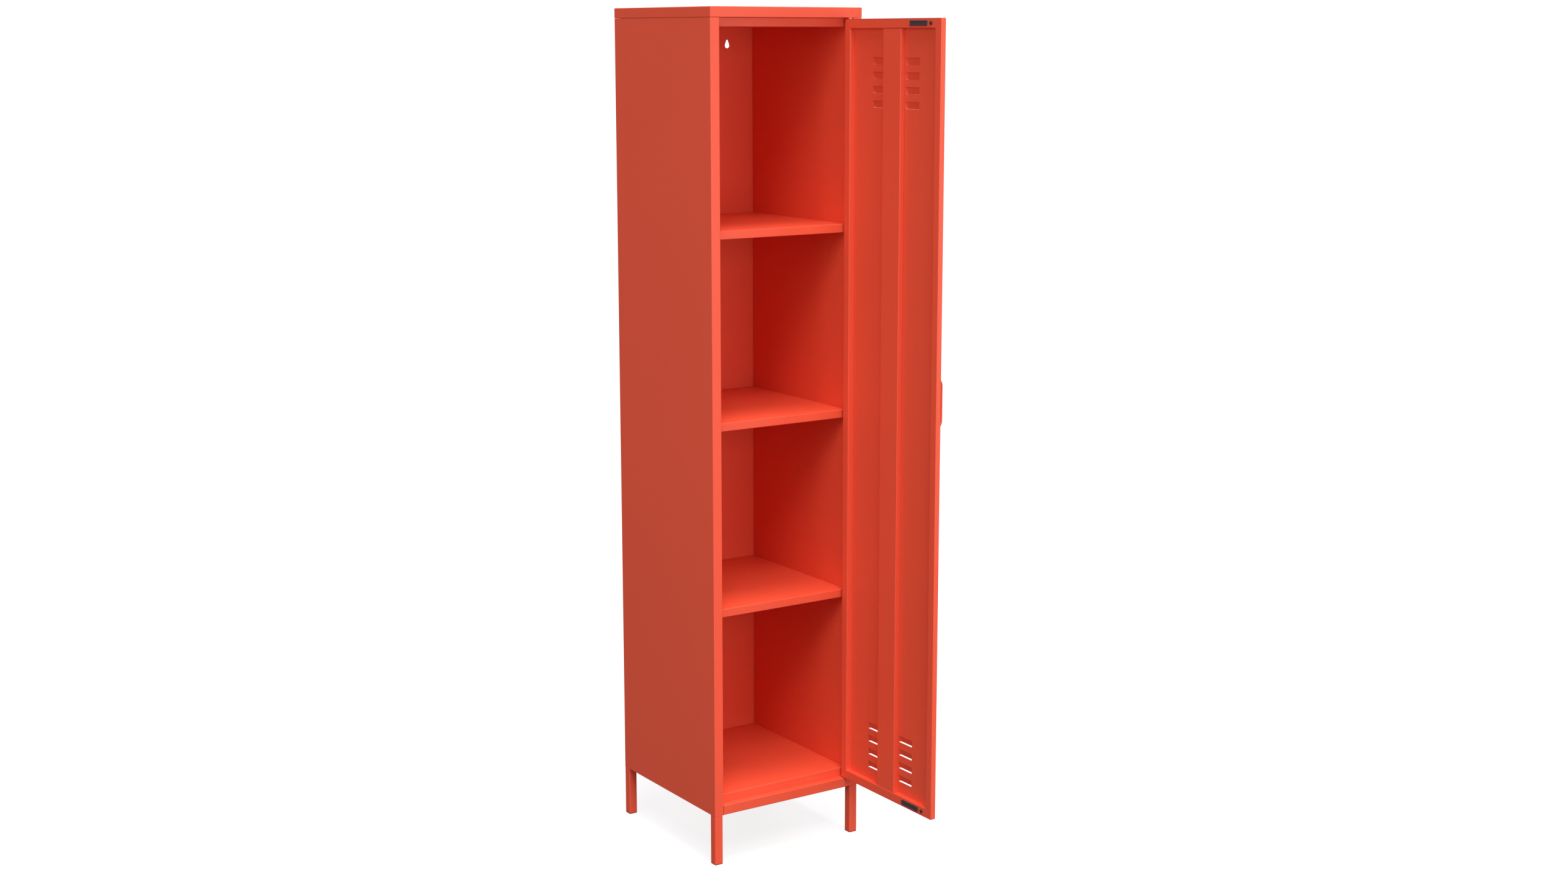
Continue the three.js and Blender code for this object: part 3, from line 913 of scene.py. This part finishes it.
class LOCKER_OT_legs(bpy.types.Operator):
    """Makes the square legs, their plastic feet and their bolts"""

    bl_idname = "locker.legs"
    bl_label = "Legs"

    def execute(self, context):
        for corner in CORNERS:
            self.tube("leg_" + corner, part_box("leg_bolt_" + corner))
            self.foot("foot_" + corner)
            self.bolt("leg_bolt_" + corner)
        return {"FINISHED"}

    def tube(self, node, bolt):
        """Square tube with round edges, closed at its top by a plate."""
        low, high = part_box(node)
        wall, radius, plate, bolt_hole = 0.0015, 0.0025, 0.003, 0.00325
        x, y = (low.x, high.x), (low.y, high.y)
        outer = rounded_rectangle(x, y, radius, 6)
        inner = rounded_rectangle(shrunk(x, wall), shrunk(y, wall), radius - wall, 6)
        under = high.z - plate
        leg = Surface()
        leg.strips([[(*p, high.z) for p in outer], [(*p, low.z) for p in outer],
                    [(*p, low.z) for p in inner], [(*p, under) for p in inner]], True)
        hole = arc_points(middle_of(*bolt), bolt_hole, 0, 2 * math.pi, 24)[:-1]
        leg.flat([outer, hole], high.z)
        leg.flat([inner, hole], under, True)
        leg.strips([[(*p, high.z) for p in hole], [(*p, under) for p in hole]], True)
        make_painted(leg.mesh(), node + "_tube", node)

    def foot(self, node):
        """Moulded plug: a rim under the tube, and a stem with grip fins inside it."""
        low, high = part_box(node)
        rim, round_off, corner = 0.002, 0.0007, 0.0025
        inset, groove, stem_corner, fins = 0.0018, 0.0007, 0.0012, 4
        x, y = (low.x, high.x), (low.y, high.y)
        stem = shrunk(x, inset), shrunk(y, inset)
        base = low.z + rim
        pitch = (high.z - low.z - rim) / fins
        outlines = []
        for step in range(4):
            a = math.radians(30 * step)
            outlines.append((x, y, round_off * (1 - math.sin(a)), corner,
                             low.z + round_off * (1 - math.cos(a))))
        outlines += [(x, y, 0.0, corner, base), (*stem, 0.0, stem_corner, base)]
        for k in range(fins):
            for depth, share in ((0.0, 0.35), (groove, 0.6), (groove, 0.98)):
                outlines.append((*stem, depth, stem_corner, base + k * pitch + share * pitch))
        plug = Surface()
        plug.close(plug.strips([inset_ring(*o, 0.0003, 5) for o in outlines[::-1]], True))
        make_piece(plug.mesh(), node + "_moulding", [node], "red_plastic")

    def bolt(self, node):
        """Hexagon bolt from inside the leg, its thread cut as close rings."""
        low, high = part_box(node)
        centre = middle_of(low, high)
        across = (high.x - low.x) / 2
        head, shank, chamfer, narrow = 0.003, 0.003, 0.0003, 0.93
        top = low.z + head
        bolt = Surface()
        hexagons = [circle(centre, r, z, 6) for r, z in (
            (across * narrow, low.z), (across, low.z + chamfer), (across, top - chamfer),
            (across * narrow, top))]
        bolt.close(bolt.strips(hexagons[::-1], True))
        sunk = 0.0001  # the thread starts this far inside the head
        bolt.join(turned(threaded_profile(shank, top - sunk, high.z, 0.001, 0.00035), centre, 28))
        make_piece(bolt.mesh(), node + "_zinc", [node], "zinc_steel")


def threaded_profile(radius, low, high, pitch, depth):
    """Outline of a shank from low to high whose surface rises and falls once each pitch."""
    profile = [(radius - depth, low)]
    turns = int((high - low) / pitch)
    for k in range(turns):
        z = low + k * pitch
        profile += [(radius - depth, z + 0.1 * pitch), (radius, z + 0.45 * pitch),
                    (radius, z + 0.6 * pitch), (radius - depth, z + 0.95 * pitch)]
    profile += [(radius - depth, high - 0.0002), (radius - 2 * depth, high)]
    return profile


# ---------------------------------------------------------------- door


def louvre_places():
    """(left edge, right edge, bottom) of each louvre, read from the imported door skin's hoods."""
    mesh = frame["nodes"]["door_skin"].data
    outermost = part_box("door_skin")[1].x
    lips = sorted({(round(v.co.z, 4), round(v.co.y, 4)) for v in mesh.vertices
                   if v.co.x > outermost - 1e-5})
    heights = sorted({z for z, _ in lips})
    places = []
    for z in heights:
        ends = [y for height, y in lips if height == z]
        places += [(a, b, z) for a, b in zip(ends[::2], ends[1::2])]
    return places


class LOCKER_OT_door_skin(bpy.types.Operator):
    """Presses the door skin: louvres, and four edges folded back"""

    bl_idname = "locker.door_skin"
    bl_label = "Door skin"

    def execute(self, context):
        d = context.scene.locker_door
        s = context.scene.locker_sheet
        skin = Surface()
        y, z = self.front(skin, d)
        depth = DOOR_FACE - DOOR_INNER
        section = fold_points([(0, 0), (d.bend, 0), (d.bend, depth)], d.bend, s.bend_steps + 1)
        stations = edge_stations(y, z, s.bend_steps)
        skin.skirt(stations, section, 0.0, mitred=d.bend - s.corner)
        bm = thicken(skin.mesh(axes((0, 1, 0), (0, 0, 1), (DOOR_FACE, 0, 0))), SHEET, even=False)
        make_painted(bm, "door_skin_sheet", "door_skin", "door", 62)
        return {"FINISHED"}

    def front(self, skin, d):
        """Front sheet on one grid of lines, so that it meets every louvre's hood point to point."""
        places = louvre_places()
        y = {LATCH_EDGE + d.bend, HINGE_EDGE - d.bend}
        z = {DOOR_LOW + d.bend, DOOR_HIGH - d.bend}
        for left, right, bottom in places:
            y.update(round(v, 6) for v in self.columns(left, right, d.louvre_cheek))
            z.update(round(bottom + d.louvre_height * v, 6) for v in self.ROWS)
        y, z = sorted(y), sorted(z)
        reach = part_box("door_skin")[1].x - DOOR_FACE
        for y0, y1 in zip(y, y[1:]):
            for z0, z1 in zip(z, z[1:]):
                middle = ((y0 + y1) / 2, (z0 + z1) / 2)
                hood = [p for p in places if p[0] < middle[0] < p[1]
                        and p[2] < middle[1] < p[2] + d.louvre_height]
                cell = [(y0, z0), (y1, z0), (y1, z1), (y0, z1)]
                cell = [(*p, reach * self.swell(p, hood[0], d) if hood else 0.0) for p in cell]
                skin.faces.append(tuple(skin.add(cell)))
        return y, z

    ROWS = (0, 0.25, 0.5, 0.7, 0.8333, 0.88, 0.92, 0.955, 0.98, 0.995, 1)
    CHEEK = (0, 0.04, 0.14, 0.3, 0.5, 0.72, 1)

    def columns(self, left, right, cheek):
        """Lines across a louvre, close together over its steep ends."""
        ends = [cheek * v for v in self.CHEEK]
        return [left + v for v in ends] + [right - v for v in ends]

    def swell(self, point, place, d):
        """How far out the hood is: steep at both ends, sloping from its top to its open lip."""
        left, right, bottom = place
        inside = min(point[0] - left, right - point[0]) / d.louvre_cheek
        below = bottom + d.louvre_height - point[1]
        rounding = self.quarter(inside) * self.quarter(below / d.louvre_shoulder)
        start = 0.35  # height of the hood's top edge, as a share of its lip's
        return rounding * (start + (1 - start) * max(0.0, below) / d.louvre_height)

    def quarter(self, share):
        """Rise of a quarter circle from 0 to 1."""
        share = min(1.0, max(0.0, share))
        return math.sqrt(1 - (1 - share) ** 2)


class LOCKER_OT_door_inside(bpy.types.Operator):
    """Folds the door's inner frame and its middle rib"""

    bl_idname = "locker.door_inside"
    bl_label = "Door inside"

    def execute(self, context):
        d = context.scene.locker_door
        s = context.scene.locker_sheet
        self.inner_frame(d, s)
        self.rib(d, s)
        return {"FINISHED"}

    def inner_frame(self, d, s):
        """Border with a folded opening. Its own frame looks out of the door's inner face."""
        low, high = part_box("door_inner_frame")
        window_x = (-HINGE_EDGE + d.border_side, -LATCH_EDGE - d.border_side)
        window_z = (DOOR_LOW + d.border_end, DOOR_HIGH - d.border_end)
        edge, depth = s.bend, high.x - low.x
        loop = rounded_rectangle(
            shrunk(window_x, -edge), shrunk(window_z, -edge), d.window_radius + edge, 8)
        border = Surface()
        border.flat([rectangle((-high.y, -low.y), (low.z, high.z)), loop], 0.0)
        stations = [(p, n, n) for p, n in zip(loop, inward(loop))]
        section = fold_points([(0, 0), (edge, 0), (edge, depth)], edge, s.bend_steps)
        border.skirt(stations[::-1], section, 0.0)
        bm = thicken(border.mesh(axes((0, -1, 0), (0, 0, 1), (low.x, 0, 0))), SHEET)
        make_painted(bm, "door_border_sheet", "door_inner_frame", "door")

    def rib(self, d, s):
        """Channel whose feet turn in against the skin."""
        low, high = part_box("door_rib")
        line = bent_line([
            (high.x, high.y - d.rib_foot), (high.x, high.y), (low.x, high.y),
            (low.x, low.y), (high.x, low.y), (high.x, low.y + d.rib_foot),
        ], s.bend, s.bend_steps)
        bm = profile_prism(line, SHEET, low.z, high.z).mesh()
        make_painted(bm, "door_rib_channel", "door_rib", "door")


def inward(loop):
    """Unit directions into a closed anticlockwise outline at each of its points."""
    directions = []
    for i, p in enumerate(loop):
        a, b = (p - loop[i - 1]).normalized(), (loop[(i + 1) % len(loop)] - p).normalized()
        directions.append((Vector((-a.y, a.x)) + Vector((-b.y, b.x))).normalized())
    return directions


class LOCKER_OT_handle(bpy.types.Operator):
    """Makes the bow handle and the two screws that hold it"""

    bl_idname = "locker.handle"
    bl_label = "Handle"

    def execute(self, context):
        h = context.scene.locker_handle
        low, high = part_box("handle")
        middle, base = (low.y + high.y) / 2, low.x
        crown = high.x - h.strip / 2
        foot = 0.0085  # half the bow's thickness where it meets the door
        ease = 0.004  # the centre line bends this much tighter than one concentric with the outside
        path = fold_points(
            [(base, low.z + foot), (crown, low.z + foot), (crown, high.z - foot),
             (base, high.z - foot)],
            h.bend - h.strip / 2 - ease, 14,
        )
        headings = [(after - before).normalized() for before, after in zip(path, path[2:])]
        rings = []
        for p, along in zip(path, [Vector((1, 0)), *headings, Vector((-1, 0))]):
            flare = (1 - (p.x - base) / (crown - base)) ** 2
            thick = h.strip + (2 * foot - h.strip) * flare
            width = (high.y - low.y) * (0.86 + 0.14 * flare)
            out = Vector((along.y, -along.x))
            rings.append(self.ring(p, out, middle, thick / 2, width / 2, h.roundness))
        handle = Surface()
        handle.close(handle.strips(rings, True))
        make_piece(handle.mesh(), "bow_handle", ["handle"], COAT, "door", 50)
        for end in ENDS:
            self.screw("handle_screw_" + end)
        return {"FINISHED"}

    def ring(self, p, out, middle, thick, width, power):
        """Rounded section across the bow: a superellipse flatter towards the door."""
        points = []
        for c, s, _ in circle((0, 0), 1, 0, 28):
            across = width * math.copysign(abs(c) ** (2 / power), c)
            q = p + out * (thick * math.copysign(abs(s) ** (2 / power), s))
            points.append((q.x, middle + across, q.y))
        return points

    def screw(self, node):
        """Pan-head screw with a cross recess, from inside the door."""
        low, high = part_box(node)
        radius = (high.y - low.y) / 2
        head, shank, crown = 0.0024, 0.002, 0.75
        seat = low.x + head
        dome = [math.radians(90 - 15 * k) for k in range(1, 7)]
        profile = [(radius * math.cos(a), low.x + head * (1 - math.sin(a)) * crown) for a in dome]
        profile += [(radius, seat), *threaded_profile(shank, seat, high.x, 0.0008, 0.0003)]
        bm = turned(profile, (0, 0), 32).mesh()
        self.cross_recess(bm, low.x, radius)
        bm.transform(axes((0, 1, 0), (0, 0, 1), (0, *middle_of(low, high, "yz"))))
        make_piece(bm, node + "_zinc", [node], "zinc_steel", "door")

    def cross_recess(self, bm, face, radius):
        """Sinks a four-armed recess into the middle of the head."""
        depth, narrow = 0.0009, 0.35
        top = [f for f in bm.faces if all(v.co.z < face + 0.0002 for v in f.verts)]
        if not top:
            raise RuntimeError("the screw head has no crown to sink its recess in")
        cap = max(top, key=lambda f: f.calc_area())
        bmesh.ops.inset_individual(bm, faces=[cap], thickness=radius * 0.05, depth=0)
        for v in cap.verts:
            v.co.z += depth
            angle = math.atan2(v.co.y, v.co.x)
            pull = narrow + (1 - narrow) * abs(math.cos(2 * angle)) ** 2
            v.co.x *= pull
            v.co.y *= pull


class LOCKER_OT_catches(bpy.types.Operator):
    """Makes the bar magnets and the rubber bumpers beside them"""

    bl_idname = "locker.catches"
    bl_label = "Catches"

    def execute(self, context):
        for end in ENDS:
            self.magnet("magnet_" + end)
            self.bumper("bumper_" + end)
        return {"FINISHED"}

    def magnet(self, node):
        """Bar with round corners and a shallow groove along its face."""
        low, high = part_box(node)
        x, y = (-high.y, -low.y), (low.z, high.z)
        crest, groove = 0.0005, 0.0003
        outlines = ((0.0, high.x - low.x), (0.0, crest), (0.0002, crest * 0.3), (crest, 0.0),
                    (0.0022, 0.0), (0.0026, groove), (0.0040, groove))
        rings = [inset_ring(x, y, inset, 0.0012, -drop, 0.0002, 4) for inset, drop in outlines]
        bar = Surface()
        bar.close(bar.strips(rings[::-1], True))
        bm = bar.mesh(axes((0, -1, 0), (0, 0, 1), (low.x, 0, 0)))
        make_piece(bm, node + "_bar", [node], "black_magnet", "door")

    def bumper(self, node):
        """Domed button with a dimple where its stem was pushed in."""
        low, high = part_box(node)
        radius, height = (high.y - low.y) / 2, high.x - low.x
        profile = [(0.0004, height * 0.72), (0.0010, height * 0.74), (0.0015, height * 0.95)]
        for k in range(7):
            a = math.radians(90 - 15 * k)
            profile.append((radius * (0.45 + 0.55 * math.cos(a)), height * (0.55 + 0.45 * math.sin(a))))
        profile.append((radius, 0.0))
        bm = turned(profile[::-1], (0, 0), 36).mesh()
        y, z = middle_of(low, high, "yz")
        bm.transform(Matrix(((0, 0, -1, high.x), (1, 0, 0, y), (0, 1, 0, z), (0, 0, 0, 1))))
        make_piece(bm, node + "_dome", [node], "black_rubber", "door")


class LOCKER_OT_hinges(bpy.types.Operator):
    """Turns the hinge pins and the flanged bushes that they run in"""

    bl_idname = "locker.hinges"
    bl_label = "Hinges"

    def execute(self, context):
        for end in ENDS:
            self.pin("hinge_pin_" + end, end == "upper")
            self.bush("hinge_bush_" + end, end == "upper")
        return {"FINISHED"}

    def flipped(self, profile, low, high, flip):
        """Heights counted from the head's end, whichever way the part points."""
        return [(r, high - z) for r, z in profile][::-1] if flip else [(r, low + z) for r, z in profile]

    def pin(self, node, flip):
        """Headed pin with a domed head and a tapered point."""
        low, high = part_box(node)
        head, length = (high.x - low.x) / 2, high.z - low.z
        shank, thick, chamfer, point, taper = 0.00175, 0.002, 0.0003, 0.0008, 0.0006
        dome = [math.radians(a) for a in (10, 30, 50, 70, 90)]
        profile = [(head * math.sin(a), thick * 0.5 * (1 - math.cos(a))) for a in dome]
        profile += [(head, thick - chamfer), (head - chamfer, thick), (shank, thick),
                    (shank, length - point), (shank - taper, length)]
        pin = turned(self.flipped(profile, low.z, high.z, flip), middle_of(low, high), 36)
        make_piece(pin.mesh(), node + "_turned", [node], "zinc_steel")

    def bush(self, node, flip):
        """Flanged sleeve with rounded lips."""
        low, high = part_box(node)
        rim, length = (high.x - low.x) / 2, high.z - low.z
        bore, sleeve, flange, lip = 0.00195, 0.00295, 0.0014, 0.0002
        profile = self.flipped([
            (bore, lip), (bore + lip, 0), (rim - lip, 0), (rim, lip), (rim, flange - lip),
            (rim - lip, flange), (sleeve, flange), (sleeve, length - lip), (sleeve - lip, length),
            (bore + lip, length), (bore, length - lip), (bore, lip),
        ], low.z, high.z, flip)
        bush = turned(profile, middle_of(low, high), 36, capped=False)
        make_piece(bush.mesh(), node + "_moulding", [node], "white_nylon", "door")


# ---------------------------------------------------------------- stage

SUN_SPREAD = math.radians(25)
PANEL_SIZE = 2.0

class LOCKER_OT_stage(bpy.types.Operator):
    """Sets up the pale floor, the soft lights and the camera"""

    bl_idname = "locker.stage"
    bl_label = "Stage"

    def execute(self, context):
        stage = context.scene.locker_stage
        self.floor()
        self.surroundings(context.scene, stage)
        self.sun("top", stage.top_strength, (0.0, -0.174, 0.985))
        self.sun("key", stage.key_strength, (-0.260, -0.558, 0.788))
        for name, share, place in self.PANELS:
            self.panel(name, share * stage.panel_power, place)
        self.camera(context.scene, stage)
        context.scene.view_settings.view_transform = "Standard"
        return {"FINISHED"}

    # Name, share of the panel power, and place of each soft panel.
    PANELS = (
        ("front panel", 2.0, (0.0, -4.2, 1.5)),
        ("right panel", 0.9, (2.4, -3.6, 1.4)),
        ("left panel", 1.0, (-4.2, -0.7, 1.6)),
        ("high left panel", 1.15, (-3.6, -2.1, 3.0)),
        ("back panel", 2.4, (2.8, 3.6, 2.2)),
    )

    def floor(self):
        """Level pale floor that the camera alone sees."""
        reach = (-40.0, 40.0)
        mesh = bpy.data.meshes.new("floor")
        mesh.from_pydata([(*p, 0) for p in rectangle(reach, reach)], [], [(0, 1, 2, 3)])
        floor = bpy.data.objects.new("floor", mesh)
        bpy.context.scene.collection.objects.link(floor)
        g = Graph("pale studio floor")
        g.set(
            Base_Color=g.mottle(g.noise(g.place(), 0.8, 2.0), (0.20, 0.20, 0.20), 0.95, 1.05),
            Roughness=0.9, Emission_Color=(1.0, 1.0, 1.0), Emission_Strength=0.8,
        )
        mesh.materials.append(g.material)
        floor.visible_diffuse = False
        floor.visible_glossy = False
        floor.visible_shadow = False

    def surroundings(self, scene, stage):
        """Even light all round, and a white backdrop where nothing else is seen."""
        world = bpy.data.worlds.new("studio")
        scene.world = world
        world.use_nodes = True
        nodes, links = world.node_tree.nodes, world.node_tree.links
        seen = nodes["Background"]
        seen.inputs["Color"].default_value = (1, 1, 1, 1)
        seen.inputs["Strength"].default_value = stage.backdrop
        lit = nodes.new("ShaderNodeBackground")
        lit.inputs["Color"].default_value = (1, 1, 1, 1)
        lit.inputs["Strength"].default_value = stage.ambient
        ray = nodes.new("ShaderNodeLightPath")
        mix = nodes.new("ShaderNodeMixShader")
        links.new(ray.outputs["Is Camera Ray"], mix.inputs[0])
        links.new(lit.outputs[0], mix.inputs[1])
        links.new(seen.outputs[0], mix.inputs[2])
        links.new(mix.outputs[0], nodes["World Output"].inputs["Surface"])

    def sun(self, name, strength, toward):
        """Broad distant light that comes from the given direction."""
        data = bpy.data.lights.new(name, "SUN")
        data.energy = strength
        data.angle = SUN_SPREAD
        self.aim(data, Vector(toward), Vector((0, 0, 0)))

    def panel(self, name, power, place):
        """Large soft panel that faces the middle of the locker."""
        data = bpy.data.lights.new(name, "AREA")
        data.energy = power
        data.size = PANEL_SIZE
        self.aim(data, Vector(place), Vector((0.0, 0.0, 1.2)))

    def aim(self, data, place, target):
        light = bpy.data.objects.new(data.name, data)
        light.location = place
        light.rotation_euler = (target - place).to_track_quat("-Z", "Y").to_euler()
        bpy.context.scene.collection.objects.link(light)

    def camera(self, scene, stage):
        data = bpy.data.cameras.new("camera")
        data.lens = stage.lens
        data.sensor_width = 36.0
        camera = bpy.data.objects.new("camera", data)
        camera.location = stage.camera_place
        level = math.radians(90)
        camera.rotation_euler = (level - stage.camera_tilt, 0, -stage.camera_turn)
        scene.collection.objects.link(camera)
        scene.camera = camera


# ---------------------------------------------------------------- add-on


class VIEW3D_PT_locker(bpy.types.Panel):
    """Lists the locker's parts in the order they are made"""

    bl_label = "School Locker"
    bl_space_type = "VIEW_3D"
    bl_region_type = "UI"
    bl_category = "Locker"

    def draw(self, context):
        for operator in OPERATORS:
            self.layout.operator(operator.bl_idname)


SETTINGS = {
    "locker_sheet": LockerSheetSettings,
    "locker_door": LockerDoorSettings,
    "locker_handle": LockerHandleSettings,
    "locker_finish": LockerFinishSettings,
    "locker_stage": LockerStageSettings,
}
OPERATORS = (
    LOCKER_OT_stage,
    LOCKER_OT_side_walls,
    LOCKER_OT_cap,
    LOCKER_OT_back,
    LOCKER_OT_floor_and_ceiling,
    LOCKER_OT_shelves,
    LOCKER_OT_legs,
    LOCKER_OT_door_skin,
    LOCKER_OT_door_inside,
    LOCKER_OT_handle,
    LOCKER_OT_catches,
    LOCKER_OT_hinges,
)


def register():
    for group in SETTINGS.values():
        bpy.utils.register_class(group)
    for name, group in SETTINGS.items():
        setattr(bpy.types.Scene, name, PointerProperty(type=group))
    for operator in OPERATORS:
        bpy.utils.register_class(operator)
    bpy.utils.register_class(VIEW3D_PT_locker)


def unregister():
    bpy.utils.unregister_class(VIEW3D_PT_locker)
    for operator in reversed(OPERATORS):
        bpy.utils.unregister_class(operator)
    for name, group in SETTINGS.items():
        delattr(bpy.types.Scene, name)
        bpy.utils.unregister_class(group)


def main():
    register()
    for operator in OPERATORS:
        group, name = operator.bl_idname.split(".")
        getattr(getattr(bpy.ops, group), name)()


if __name__ == "__main__":
    main()
